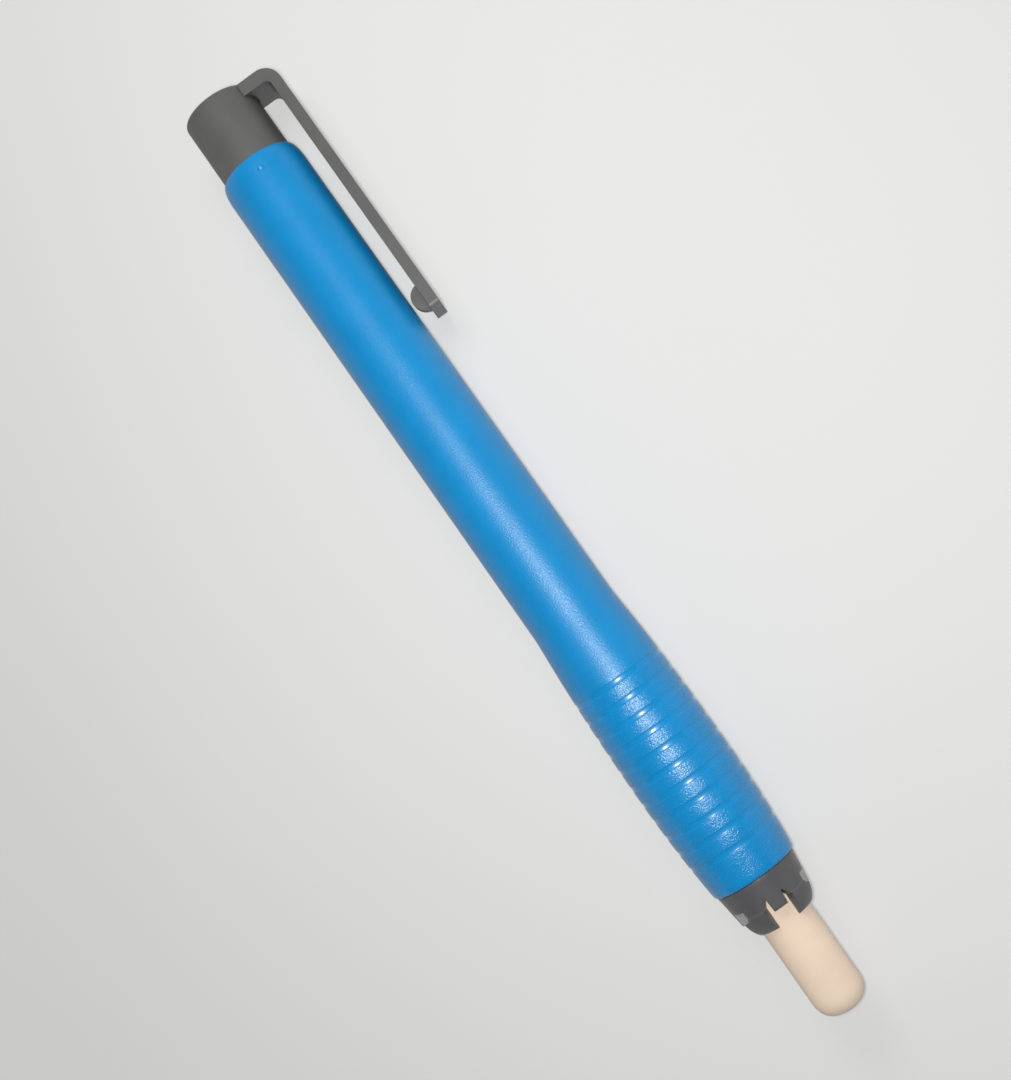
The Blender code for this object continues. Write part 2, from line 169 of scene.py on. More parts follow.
# How finely the meshes are divided, and how near points of a bevelled mesh are joined
WELD = 0.001
BEVEL_ANGLE = radians(32)
BARREL_SIDES = 144
PART_SIDES = 96
CAP_SIDES = 112
EDGE_STEPS = 9
FLANK_STEPS = 7
FLOOR_STEPS = 8
LAND_STEP = 0.4
FLARE_STEPS = 24
BODY_STEPS = 14
ROUND_STEPS = 12
HALVINGS = 40
GATE_SIDES = 24
TONGUE_ROWS = 4
TONGUE_COLUMNS = 9
NECK_ROWS = 3
JAW_COLUMNS = 17
CONE_ROWS = 5
WINDOW_STEPS = 6
CROWN_STEPS = 18
STICK_STEPS = 20
CAP_STEPS = 10
ARM_STEPS = 3
BEND_STEPS = 8
BAR_STEPS = 8
RIB_STEPS = 16
BEVEL_STEPS = 3
CHUCK_COLUMNS = 20
COIL_STEPS = 36
WIRE_SIDES = 10

# Material numbers within a piece
PLAIN = 0
GLOSSY = 1
GRAINED = 2
# The nose's window walls take a lighter grey: a painted highlight for light glinting off them
PAINTED_GLINT = 1

# Where the pen lies
AXIS = Vector((1, 0, 0))
low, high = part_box("barrel")
SIDE = Vector(next(j["axis"] for j in frame["joints"] if j["name"] == "clip_flex")).normalized()
CLIP = SIDE.cross(AXIS)
PEN = Matrix.Translation((high.x, (low.y + high.y) / 2, (low.z + high.z) / 2))
PEN = PEN @ Matrix((CLIP, SIDE, AXIS)).transposed().to_4x4() @ Matrix.Scale(MM, 4)


class Shape:
    """Points and faces of one piece, in pen millimetres."""

    def __init__(self):
        self.points = []
        self.faces = []
        self.looks = []

    def point(self, x, y, z):
        """Add a point and give its number."""
        self.points.append((x, y, z))
        return len(self.points) - 1

    def turned(self, radius, angle, z):
        """Add a point at a radius and angle about the axis."""
        return self.point(radius * cos(angle), radius * sin(angle), z)

    def face(self, *corners, look=0):
        """Add a face with a material number."""
        self.faces.append(corners)
        self.looks.append(look)

    def band(self, one, two, closed=True, look=0):
        """Join two rows of points by quads."""
        count = len(one)
        for i in range(count if closed else count - 1):
            j = (i + 1) % count
            self.face(one[i], one[j], two[j], two[i], look=look)

    def plain_lathe(self, rows, count):
        """Turn a closed profile of (radius, z) points in one material."""
        self.lathe([(radius, z, PLAIN) for radius, z in rows], count)

    def lathe(self, profile, count):
        """Turn a closed profile of (radius, z, look) points; a zero radius is a point on the axis."""
        rows = []
        for radius, z, _ in profile:
            if radius:
                rows.append([self.turned(radius, 2 * pi * i / count, z) for i in range(count)])
            else:
                rows.append([self.point(0, 0, z)])
        for k, row in enumerate(rows):
            after = rows[(k + 1) % len(rows)]
            look = profile[k][2]
            if len(row) > 1 and len(after) > 1:
                self.band(row, after, look=look)
            elif len(row) > 1 or len(after) > 1:
                ring, pole = (row, after[0]) if len(row) > 1 else (after, row[0])
                for i in range(count):
                    self.face(ring[i], ring[(i + 1) % count], pole, look=look)

    def mesh(self, name):
        """Make the mesh in metres, in the pen's place, with its faces turned outwards."""
        mesh = bpy.data.meshes.new(name)
        mesh.from_pydata([PEN @ Vector(p) for p in self.points], [], self.faces)
        mesh.polygons.foreach_set("material_index", self.looks)
        bm = bmesh.new()
        bm.from_mesh(mesh)
        bmesh.ops.recalc_face_normals(bm, faces=bm.faces)
        bm.to_mesh(mesh)
        bm.free()
        return mesh


def add_object(name, data):
    """Make an object and link it to the scene."""
    obj = bpy.data.objects.new(name, data)
    bpy.context.scene.collection.objects.link(obj)
    return obj


def applied(obj):
    """Mesh of an object with its modifiers applied."""
    bpy.context.view_layer.update()
    seen = obj.evaluated_get(bpy.context.evaluated_depsgraph_get())
    return bpy.data.meshes.new_from_object(seen)


def piece(name, mesh, materials, body, node, bevel=0.0, sharp=32):
    """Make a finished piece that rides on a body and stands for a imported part.

    bevel is the width of the bevelled edges in millimetres, and edges turn sharp above sharp degrees.
    """
    obj = add_object(name, mesh)
    for material in materials:
        mesh.materials.append(material)
    if bevel:
        step = obj.modifiers.new("edges", "BEVEL")
        step.width = bevel * MM
        step.segments = BEVEL_STEPS
        step.limit_method = "ANGLE"
        step.angle_limit = BEVEL_ANGLE
        step.use_clamp_overlap = True
        obj.data = applied(obj)
        obj.modifiers.clear()
        bm = bmesh.new()
        bm.from_mesh(obj.data)
        bmesh.ops.remove_doubles(bm, verts=bm.verts, dist=WELD * MM)
        bm.to_mesh(obj.data)
        bm.free()
    obj.data.shade_smooth()
    obj.data.set_sharp_from_angle(angle=radians(sharp))
    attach(obj, body)
    if node:
        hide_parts(node)
    return obj


def spread(start, end, steps):
    """Evenly spaced numbers from start to end, both included."""
    return [start + (end - start) * i / steps for i in range(steps + 1)]


def crown(inner_r, outer_r, low_z, high_z, power, steps):
    """Rounded end as (radius, z), from its top at inner_r down to outer_r at low_z."""
    rows = []
    for i in range(steps + 1):
        angle = pi / 2 * (1 - i / steps)
        reach = cos(angle) ** (2 / power) if i else 0.0
        rise = sin(angle) ** (2 / power)
        rows.append((inner_r + (outer_r - inner_r) * reach, low_z + (high_z - low_z) * rise))
    return rows


# Materials

NOISE_LOW = 0.3
NOISE_HIGH = 0.7
CLOUD_DETAIL = 4
GRAIN_DETAIL = 2
GLOSS_STRAY = 0.06


def surface(name, colour, roughness, grain=0.0, grain_size=0.15, tone=0.06, tone_size=4.0,
            metallic=0.0, specular=0.5, diffuse=0.0, coat=0.0, coat_roughness=0.03):
    """Moulded surface: a colour with faint clouds, a roughness that varies and a fine grain in relief.

    Sizes are in millimetres, and tone is how far the colour strays.
    """
    material = bpy.data.materials.new(name)
    material.use_nodes = True
    nodes = material.node_tree.nodes
    links = material.node_tree.links
    shader = nodes["Principled BSDF"]
    shader.inputs["Metallic"].default_value = metallic
    shader.inputs["Specular IOR Level"].default_value = specular
    shader.inputs["Diffuse Roughness"].default_value = diffuse
    shader.inputs["Coat Weight"].default_value = coat
    shader.inputs["Coat Roughness"].default_value = coat_roughness
    place = nodes.new("ShaderNodeTexCoord")

    def noise(size, detail):
        made = nodes.new("ShaderNodeTexNoise")
        made.inputs["Scale"].default_value = 1 / (size * MM)
        made.inputs["Detail"].default_value = detail
        links.new(place.outputs["Object"], made.inputs["Vector"])
        return made.outputs["Fac"]

    def stray(value, low_out, high_out):
        made = nodes.new("ShaderNodeMapRange")
        made.inputs["From Min"].default_value = NOISE_LOW
        made.inputs["From Max"].default_value = NOISE_HIGH
        made.inputs["To Min"].default_value = low_out
        made.inputs["To Max"].default_value = high_out
        links.new(value, made.inputs["Value"])
        return made.outputs["Result"]

    clouds = noise(tone_size, CLOUD_DETAIL)
    mix = nodes.new("ShaderNodeMix")
    mix.data_type = "RGBA"
    mix.inputs["A"].default_value = (*[c * (1 - tone) for c in colour], 1)
    mix.inputs["B"].default_value = (*[min(1.0, c * (1 + tone)) for c in colour], 1)
    links.new(stray(clouds, 0, 1), mix.inputs["Factor"])
    links.new(mix.outputs["Result"], shader.inputs["Base Color"])
    fine = noise(grain_size, GRAIN_DETAIL)
    gloss = stray(fine, roughness - GLOSS_STRAY, roughness + GLOSS_STRAY)
    links.new(gloss, shader.inputs["Roughness"])
    if grain:
        bump = nodes.new("ShaderNodeBump")
        bump.inputs["Strength"].default_value = 1.0
        bump.inputs["Distance"].default_value = grain * MM
        links.new(fine, bump.inputs["Height"])
        links.new(bump.outputs["Normal"], shader.inputs["Normal"])
    return material


BLUE = (0.004, 0.225, 0.52)
barrel_blue = surface("barrel_blue", BLUE, 0.38, grain=0.040, grain_size=0.16, tone=0.04)
grip_blue = surface("grip_blue", BLUE, 0.285, grain=0.058, grain_size=0.19, tone=0.04)
groove_blue = surface("groove_blue", BLUE, 0.30, grain=0.003, grain_size=0.30, tone=0.04, specular=0.3,
                      coat=0.35, coat_roughness=0.15)
nose_grey = surface("nose_grey", (0.086, 0.086, 0.090), 0.38, grain=0.020, grain_size=0.14)
# Lighter, mottled copy of the nose grey: a painted highlight for the glint on the nose's window walls
nose_painted_glint = surface("nose_painted_glint", (0.27, 0.27, 0.275), 0.50, grain=0.030, grain_size=0.16, tone=0.15,
                    tone_size=0.4)
cap_grey = surface("cap_grey", (0.096, 0.096, 0.093), 0.52, grain=0.020, grain_size=0.14)
clip_grey = surface("clip_grey", (0.096, 0.096, 0.094), 0.40, grain=0.015, grain_size=0.14)
eraser_cream = surface("eraser_cream", (0.76, 0.615, 0.485), 0.80, grain=0.020, grain_size=0.12, tone=0.03,
                       diffuse=0.25)
inner_white = surface("inner_white", (0.62, 0.62, 0.59), 0.42, grain=0.003, grain_size=0.2)
tube_white = surface("tube_white", (0.70, 0.70, 0.67), 0.40, grain=0.003, grain_size=0.2)
ring_brass = surface("ring_brass", (0.60, 0.43, 0.16), 0.28, grain=0.002, grain_size=0.1, metallic=1.0)
spring_steel = surface("spring_steel", (0.62, 0.62, 0.62), 0.25, grain=0.001, grain_size=0.1, metallic=1.0)


# Barrel


def grip_radius(z):
    """Barrel radius at z: a taper at the front, the swell's peak, a hollow flare, then the body."""
    if z > -GRIP_PEAK:
        return GRIP_R - FRONT_DROP * ((z + GRIP_PEAK) / GRIP_PEAK) ** 2
    if z < -GRIP_LEN:
        return BODY_R
    stops = (GRIP_LEN, GRIP_LEN - FLARE_START, GRIP_LEN - FLARE_END, GRIP_PEAK)
    start, end = 0.0, 1.0
    for _ in range(HALVINGS):
        t = (start + end) / 2
        weights = ((1 - t) ** 3, 3 * t * (1 - t) ** 2, 3 * t * t * (1 - t), t ** 3)
        at = -sum(w * s for w, s in zip(weights, stops))
        start, end = (t, end) if at < z else (start, t)
    return BODY_R + (GRIP_R - BODY_R) * (weights[2] + weights[3])


def groove_depth(offset):
    """Depth of a grip ring at a distance from its middle: rounded edges and a slightly hollow floor."""
    share = (RING_HALF - abs(offset)) / (RING_HALF - RING_FLAT)
    share = min(1.0, max(0.0, share))
    bowl = RING_BOWL * max(0.0, 1 - (offset / RING_FLAT) ** 2)
    return RING_DEPTH * share * share * (3 - 2 * share) + bowl


def barrel_profile():
    """Closed profile of the barrel with a material number at each point."""
    edge_r = FRONT_BORE_R + FRONT_LIP
    reach = grip_radius(-FRONT_EDGE) - edge_r
    outside = [(edge_r, 0.0, PLAIN)]
    for a in spread(0, pi / 2, EDGE_STEPS)[1:]:
        outside.append((edge_r + reach * sin(a), -FRONT_EDGE * (1 - cos(a)), GLOSSY))
    flank = spread(RING_HALF, RING_FLAT, FLANK_STEPS)
    offsets = flank + spread(RING_FLAT, -RING_FLAT, FLOOR_STEPS)[1:-1] + [-u for u in reversed(flank)]
    for i in range(RING_COUNT):
        middle = -RING_FIRST - i * RING_PITCH
        before = outside[-1][1]
        gap = before - middle - RING_HALF
        steps = ceil(gap / LAND_STEP)
        land = spread(before, middle + RING_HALF, steps)[1:-1]
        outside += [(grip_radius(z), z, GRAINED) for z in land]
        for offset in offsets:
            z = middle + offset
            glossy = -RING_GLOSS < offset <= RING_GLOSS
            look = GLOSSY if glossy else GRAINED
            outside.append((grip_radius(z) - groove_depth(offset), z, look))
    flare = spread(outside[-1][1], -GRIP_LEN, FLARE_STEPS)[1:]
    outside += [(grip_radius(z), z, PLAIN) for z in flare]
    round_top = -BARREL_LEN + REAR_ROUND_LEN
    outside += [(BODY_R, z, PLAIN) for z in spread(-GRIP_LEN, round_top, BODY_STEPS)[1:]]
    for a in spread(0, pi / 2, ROUND_STEPS)[1:]:
        drop = (BODY_R - REAR_BORE_R - REAR_LIP) * (1 - cos(a))
        outside.append((BODY_R - drop, round_top - REAR_ROUND_LEN * sin(a), PLAIN))
    inside = [
        (REAR_BORE_R, -BARREL_LEN),
        (REAR_BORE_R, REAR_BORE_FLOOR),
        (BORE_R, REAR_BORE_FLOOR),
        (BORE_R, SHOULDER_REAR),
        (SHOULDER_HOLE_R, SHOULDER_REAR),
        (SHOULDER_HOLE_R, SHOULDER_FRONT),
        (FRONT_BORE_R, SHOULDER_FRONT),
        (FRONT_BORE_R, 0.0),
    ]
    return outside + [(r, z, PLAIN) for r, z in inside]


def make_barrel():
    """Barrel with its grip rings."""
    shape = Shape()
    shape.lathe(barrel_profile(), BARREL_SIDES)
    piece("barrel_body", shape.mesh("barrel_body"), [barrel_blue, groove_blue, grip_blue],
          "barrel", "barrel")


make_barrel()


def make_gate_mark():
    """Small flat-topped bump where the barrel was filled in its mould, set a little into the surface."""
    out = Vector((cos(GATE_TURN), sin(GATE_TURN), 0))
    along = Vector((0, 0, 1))
    side = along.cross(out)
    middle = out * BODY_R + along * GATE_Z
    shape = Shape()

    def ring(spare, height, slope):
        row = []
        for a in spread(0, 2 * pi, GATE_SIDES)[:-1]:
            u, v = (GATE_HALF_W + spare) * cos(a), (GATE_HALF_LEN + spare) * sin(a)
            row.append(shape.point(*(middle + side * u + along * v + out * (height - slope * v))))
        return row

    slope = tan(GATE_TILT)
    rows = [
        ring(GATE_SKIRT, -GATE_SINK, 0.0),
        ring(GATE_ROUND, GATE_H - GATE_ROUND, slope),
        ring(0.0, GATE_H, slope),
    ]
    for one, two in zip(rows, rows[1:]):
        shape.band(one, two)
    shape.face(*rows[0])
    shape.face(*rows[-1])
    piece("gate_mark", shape.mesh("gate_mark"), [barrel_blue], "barrel", None, sharp=60)


make_gate_mark()


# Split sleeves


def split_sleeve(shape, base_out, base_in, sectors):
    """Tube that ends in fingers.

    base_out and base_in are rows of (radius, z) of the whole tube, the outer ones running up to the
    fingers' root and the inner ones running down from it. Each sector is a finger: a function that
    gives its two side angles at a radius and z, how many columns it has, how many steps the gap after
    it takes, its rows of (outer radius, inner radius, z) above the root, and its sides' material number.
    """
    root_z = base_out[-1][1]

    def columns(number, radius, z):
        sides, count, *_ = sectors[number]
        return spread(*sides(radius, max(z, root_z)), count - 1)

    def gap_columns(number, radius, z):
        start = columns(number, radius, z)[-1]
        width = (columns((number + 1) % len(sectors), radius, z)[0] - start) % (2 * pi)
        return spread(start, start + width, sectors[number][2])[1:-1]

    def ring(radius, z):
        groups = []
        for number in range(len(sectors)):
            for angles in (columns(number, radius, z), gap_columns(number, radius, z)):
                groups.append([shape.turned(radius, a, z) for a in angles])
        return groups

    out_rows = [ring(r, z) for r, z in base_out]
    in_rows = [ring(r, z) for r, z in base_in]
    loop = out_rows + in_rows
    for k, row in enumerate(loop):
        after = loop[(k + 1) % len(loop)]
        if row is out_rows[-1]:
            continue
        shape.band([p for group in row for p in group], [p for group in after for p in group])
    top_out, top_in = out_rows[-1], in_rows[0]
    for number, (_, _, _, rows, look) in enumerate(sectors):
        own, gap, after = 2 * number, 2 * number + 1, (2 * number + 2) % len(top_out)
        floor_out, floor_in = ([top[own][-1]] + top[gap] + [top[after][0]] for top in (top_out, top_in))
        shape.band(floor_out, floor_in, closed=False)
        outer, inner = top_out[own], top_in[own]
        for out_r, in_r, z in rows:
            next_out = [shape.turned(out_r, a, z) for a in columns(number, out_r, z)]
            next_in = [shape.turned(in_r, a, z) for a in columns(number, in_r, z)]
            shape.band(outer, next_out, closed=False)
            shape.band(inner, next_in, closed=False)
            for i in (0, -1):
                shape.face(outer[i], next_out[i], next_in[i], inner[i], look=look)
            outer, inner = next_out, next_in
        shape.band(outer, inner, closed=False)


def nose_cone(z):
    """Outer radius of the nose's plain cone."""
    return COLLAR_R - NOSE_TAPER * (z - COLLAR_Z)


def between(stops, z):
    """Value at z on straight lines through (z, value) stops."""
    for (z0, v0), (z1, v1) in zip(stops, stops[1:]):
        if z <= z1:
            return v0 + (v1 - v0) * max(0.0, (z - z0) / (z1 - z0))
    return stops[-1][1]


def make_nose():
    """Split nose with four long jaws and four short tongues, parted by radial slots and windows."""
    quarter = 2 * pi / TONGUE_COUNT
    head_z = JAW_STEP + JAW_RAMP
    tongue_edges = [(SLOT_ROOT, TONGUE_ROOT_EDGE), (TONGUE_END, TONGUE_TIP_EDGE)]
    slot_edges = [(SLOT_ROOT, JAW_ROOT_EDGE), (JAW_STEP, JAW_NECK_EDGE), (head_z, JAW_HEAD_EDGE)]
    window_edges = [
        (SLOT_ROOT, WINDOW_EDGE),
        (WINDOW_END, WINDOW_EDGE),
        (WINDOW_END + JAW_RAMP, JAW_HEAD_EDGE),
    ]

    def tongue_sides(turn):
        return lambda _, z: (turn - between(tongue_edges, z), turn + between(tongue_edges, z))

    def jaw_sides(turn, first, last):
        return lambda _, z: (turn + between(first, z), turn + quarter - between(last, z))

    tongue = [(nose_cone(z), NOSE_BORE_R, z) for z in spread(SLOT_ROOT, TONGUE_END, TONGUE_ROWS)[1:]]
    jaw = [(nose_cone(z), NOSE_BORE_R, z) for z in spread(SLOT_ROOT, JAW_STEP, NECK_ROWS)[1:]]
    head = crown(JAW_TIP_R, nose_cone(head_z) + JAW_LIFT, head_z, JAW_END, JAW_POWER, ROUND_STEPS)
    jaw += [(r, NOSE_BORE_R, z) for r, z in reversed(head)]
    sectors = []
    for i in range(TONGUE_COUNT):
        turn = NOSE_ROLL + quarter * i
        first, last = (window_edges, slot_edges) if i % 2 else (slot_edges, window_edges)
        first_steps, last_steps = (WINDOW_STEPS, 1) if i % 2 else (1, WINDOW_STEPS)
        # The window walls get the lighter grey of the painted highlight
        side_look = PAINTED_GLINT if i % 2 else PLAIN
        sectors.append((tongue_sides(turn), TONGUE_COLUMNS, first_steps, tongue, side_look))
        sectors.append((jaw_sides(turn, first, last), JAW_COLUMNS, last_steps, jaw, PLAIN))
    base_out = [(CHAMBER_R, SPIGOT_REAR), (SPIGOT_R, SPIGOT_REAR), (SPIGOT_R, COLLAR_Z)]
    base_out += [(nose_cone(z), z) for z in spread(COLLAR_Z, SLOT_ROOT, CONE_ROWS)]
    base_in = [
        (NOSE_BORE_R, SLOT_ROOT),
        (NOSE_BORE_R, CHAMBER_FLOOR),
        (CHAMBER_R, CHAMBER_FLOOR - CHAMBER_CONE),
    ]
    shape = Shape()
    split_sleeve(shape, base_out, base_in, sectors)
    piece("nose_body", shape.mesh("nose_body"), [nose_grey, nose_painted_glint], "barrel", "nose_collet",
          bevel=0.05)


make_nose()


# Eraser stick


def make_eraser():
    """Eraser stick with a worn, rounded end."""
    shoulder = ERASER_OUT - ERASER_CROWN
    rear = ERASER_OUT - ERASER_LEN
    rows = crown(0.0, ERASER_R, shoulder, ERASER_OUT, ERASER_POWER, CROWN_STEPS)
    rows += [(ERASER_R, z) for z in spread(shoulder, rear, STICK_STEPS)[1:]]
    rows.append((0.0, rear))
    shape = Shape()
    shape.plain_lathe(rows, PART_SIDES)
    piece("eraser_rubber", shape.mesh("eraser_rubber"), [eraser_cream], "eraser", "eraser_stick")


make_eraser()


# Push cap


def make_cap():
    """Push button with a seat for the feed tube and a slot for the clip's tang."""
    rows = [
        (0.0, CAP_FLOOR),
        (TUBE_BORE_R, CAP_FLOOR),
        (TUBE_BORE_R, CAP_SEAT),
        (CAP_SOCKET_R, CAP_SEAT),
        (CAP_SOCKET_R, CAP_FRONT),
        (CAP_R - CAP_CHAMFER, CAP_FRONT),
    ]
    rows += [(CAP_R, z) for z in spread(CAP_FRONT - CAP_CHAMFER, CAP_END + CAP_EDGE, CAP_STEPS)]
    for a in spread(0, pi / 2, EDGE_STEPS)[1:]:
        rows.append((CAP_R - CAP_EDGE * (1 - cos(a)), CAP_END + CAP_EDGE * (1 - sin(a))))
    rows.append((0.0, CAP_END))
    shape = Shape()
    shape.plain_lathe(rows, CAP_SIDES)
    obj = add_object("cap_blank", shape.mesh("cap_body"))
    cutter = Shape()
    middle = (ARM_REAR + ARM_FRONT) / 2
    half_w = TANG_HALF_W + TANG_PLAY
    half_t = TANG_HALF_T + TANG_PLAY
    ring = [(-half_w, -half_t), (half_w, -half_t), (half_w, half_t), (-half_w, half_t)]
    near = [cutter.point(TANG_FLOOR_R - TANG_PLAY, u, middle + v) for u, v in ring]
    far = [cutter.point(CLIP_IN, u, middle + v) for u, v in ring]
    cutter.band(near, far)
    cutter.face(*near)
    cutter.face(*far)
    tool = add_object("cap_cutter", cutter.mesh("cap_cutter"))
    step = obj.modifiers.new("slot", "BOOLEAN")
    step.operation = "DIFFERENCE"
    step.solver = "EXACT"
    step.object = tool
    cut = applied(obj)
    bpy.data.objects.remove(tool)
    bpy.data.objects.remove(obj)
    piece("cap_body", cut, [cap_grey], "button", "push_cap")


make_cap()


# Pocket clip


def make_clip():
    """Bent bar with a tang in the cap and a half-round rib at its free end."""
    middle = (ARM_REAR + ARM_FRONT) / 2
    rib_z = CLIP_TIP - RIB_SETBACK - RIB_R
    half_chord = sqrt(RIB_R ** 2 - (RIB_MIDDLE_R - CLIP_IN) ** 2)
    start = asin((RIB_MIDDLE_R - CLIP_IN) / RIB_R)
    rib_angles = spread(pi - start, start, RIB_STEPS)
    rib = [(RIB_MIDDLE_R - RIB_R * sin(a), rib_z + RIB_R * cos(a)) for a in rib_angles]

    inner = [(x, ARM_FRONT) for x in spread(SEAT_R, CLIP_IN - ARM_BEND_IN, ARM_STEPS)]
    outer = [(x, ARM_REAR) for x in spread(SEAT_R, CLIP_OUT - ARM_BEND_OUT, ARM_STEPS)]
    for a in spread(0, pi / 2, BEND_STEPS)[1:]:
        inner.append((CLIP_IN - ARM_BEND_IN * (1 - sin(a)), ARM_FRONT + ARM_BEND_IN * (1 - cos(a))))
        outer.append((CLIP_OUT - ARM_BEND_OUT * (1 - sin(a)), ARM_REAR + ARM_BEND_OUT * (1 - cos(a))))
    bar_start = outer[-1][1]
    inner[-1] = (CLIP_IN, ARM_FRONT + ARM_BEND_IN)
    tip = [CLIP_TIP - TIP_FACET_LEN, CLIP_TIP]
    stations = spread(bar_start, rib_z - half_chord, BAR_STEPS)[1:] + [z for _, z in rib[1:]] + tip
    inner += [(CLIP_IN, z) for z in stations]
    outer += [(CLIP_OUT, z) for z in stations]
    first_rib = len(inner) - len(rib) - len(tip)

    shape = Shape()
    columns = [-TANG_HALF_W, -RIB_HALF, RIB_HALF, TANG_HALF_W]
    shares = [0.0, (ARM_FRONT - middle - TANG_HALF_T) / (ARM_FRONT - ARM_REAR)]
    shares += [1 - shares[1], 1.0]
    grid = []
    for k, ((xi, zi), (xo, zo)) in enumerate(zip(inner, outer)):
        rows = []
        for s in shares:
            x, z = xi + (xo - xi) * s, zi + (zo - zi) * s
            half = CLIP_HALF - TIP_FACET * max(0.0, 1 - (CLIP_TIP - z) / TIP_FACET_LEN)
            slant = TIP_SLANT / CLIP_HALF * max(0.0, 1 - (CLIP_TIP - z) / TIP_SLANT_LEN)
            row = []
            for y in [-half] + columns + [half]:
                row.append(shape.point(sqrt(SEAT_R ** 2 - y * y) if k == 0 else x, y, z - slant * y))
            rows.append(row)
        grid.append(rows)
    # The rib stands on the middle column of the inner face, and the tang on the middle of the root
    last = len(grid) - 1
    for k in range(last):
        one, two = grid[k], grid[k + 1]
        in_rib = first_rib <= k < first_rib + len(rib) - 1
        for j in range(len(columns) + 1):
            if not (in_rib and j == 2):
                shape.face(one[0][j], one[0][j + 1], two[0][j + 1], two[0][j])
            shape.face(one[-1][j], one[-1][j + 1], two[-1][j + 1], two[-1][j])
        for s in range(len(shares) - 1):
            shape.face(one[s][0], one[s + 1][0], two[s + 1][0], two[s][0])
            shape.face(one[s][-1], one[s + 1][-1], two[s + 1][-1], two[s][-1])
    for s in range(len(shares) - 1):
        for j in range(len(columns) + 1):
            end = grid[last]
            shape.face(end[s][j], end[s][j + 1], end[s + 1][j + 1], end[s + 1][j])
            root = grid[0]
            if not (s == 1 and 1 <= j <= 3):
                shape.face(root[s][j], root[s][j + 1], root[s + 1][j + 1], root[s + 1][j])
    rim = [grid[0][1][j] for j in range(1, 5)] + [grid[0][2][j] for j in range(4, 0, -1)]
    deep = [shape.point(TANG_FLOOR_R, *shape.points[p][1:]) for p in rim]
    shape.band(rim, deep)
    for j in range(3):
        shape.face(deep[j], deep[j + 1], deep[6 - j], deep[7 - j])
    left = [shape.point(x, -RIB_HALF, z) for x, z in rib[1:-1]]
    right = [shape.point(x, RIB_HALF, z) for x, z in rib[1:-1]]
    roots = grid[first_rib:first_rib + len(rib)]
    left = [roots[0][0][2]] + left + [roots[-1][0][2]]
    right = [roots[0][0][3]] + right + [roots[-1][0][3]]
    for i in range(len(rib) - 1):
        shape.face(left[i], right[i], right[i + 1], left[i + 1])
        for side, column in ((left, 2), (right, 3)):
            corners = [side[i], side[i + 1], roots[i + 1][0][column], roots[i][0][column]]
            shape.face(*dict.fromkeys(corners))
    piece("clip_bar", shape.mesh("clip_bar"), [clip_grey], "clip", "pocket_clip",
          bevel=0.10, sharp=14)


make_clip()


# Pieces inside the barrel

RING_BORE_R = 4.25
RING_R = 4.85
RING_FRONT = -11.8
RING_REAR = -14.8
RING_CHAMFER = 0.12
CHUCK_R = 3.85
CHUCK_HEAD_R = 4.15
CHUCK_BORE_R = 3.4
CHUCK_FRONT = -8.3
CHUCK_REAR = -42.0
CHUCK_CHAMFER = 0.25
CHUCK_SLOTS = 4
CHUCK_SLOT_HALF = 0.3
CHUCK_SLOT_END = -26.3
FACE_GAP = 0.2
TUBE_FRONT = -36.0
TUBE_REAR = -105.2
TUBE_R = 4.05
SOCKET_BORE_R = 3.95
SOCKET_R = 4.45
SOCKET_FLOOR = -42.2
TUBE_NECK = -42.8
SPRING_R = 4.225
WIRE_R = 0.175
SPRING_FRONT = -18.2
SPRING_REAR = -35.8
SPRING_TURNS = 9


def make_clutch_ring():
    """Ring round the chuck's head."""
    c = RING_CHAMFER
    rows = [
        (RING_BORE_R, RING_FRONT - c), (RING_BORE_R + c, RING_FRONT), (RING_R - c, RING_FRONT),
        (RING_R, RING_FRONT - c), (RING_R, RING_REAR + c), (RING_R - c, RING_REAR),
        (RING_BORE_R + c, RING_REAR), (RING_BORE_R, RING_REAR + c),
    ]
    ring = Shape()
    ring.plain_lathe(rows, PART_SIDES)
    piece("clutch_band", ring.mesh("clutch_band"), [ring_brass], "clutch", "clutch_ring")


def make_feed_tube():
    """Tube that holds the stick, with a wider socket for the chuck."""
    rows = [
        (SOCKET_BORE_R, TUBE_FRONT), (SOCKET_R, TUBE_FRONT), (SOCKET_R, TUBE_NECK),
        (TUBE_R, TUBE_NECK - SOCKET_R + TUBE_R), (TUBE_R, TUBE_REAR), (TUBE_BORE_R, TUBE_REAR),
        (TUBE_BORE_R, SOCKET_FLOOR), (SOCKET_BORE_R, SOCKET_FLOOR),
    ]
    tube = Shape()
    tube.plain_lathe(rows, PART_SIDES)
    piece("feed_sleeve", tube.mesh("feed_sleeve"), [tube_white], "feed", "feed_tube", bevel=0.08)


def make_chuck():
    """Split sleeve that grips the stick."""
    quarter = 2 * pi / CHUCK_SLOTS

    def jaw_sides(turn):
        def sides(radius, _):
            edge = asin(CHUCK_SLOT_HALF / radius)
            return turn + edge, turn + quarter - edge
        return sides

    jaw = [
        (CHUCK_R, CHUCK_BORE_R, RING_REAR + FACE_GAP),
        (CHUCK_HEAD_R, CHUCK_BORE_R, RING_FRONT - FACE_GAP),
        (CHUCK_HEAD_R, CHUCK_BORE_R, CHUCK_FRONT - CHUCK_CHAMFER),
        (CHUCK_HEAD_R - CHUCK_CHAMFER, CHUCK_BORE_R, CHUCK_FRONT),
    ]
    sectors = [(jaw_sides(quarter * i), CHUCK_COLUMNS, 1, jaw, PLAIN) for i in range(CHUCK_SLOTS)]
    chuck = Shape()
    base_out = [(CHUCK_BORE_R, CHUCK_REAR), (CHUCK_R, CHUCK_REAR), (CHUCK_R, CHUCK_SLOT_END)]
    split_sleeve(chuck, base_out, [(CHUCK_BORE_R, CHUCK_SLOT_END)], sectors)
    piece("chuck_body", chuck.mesh("chuck_body"), [inner_white], "feed", "chuck", bevel=0.05)


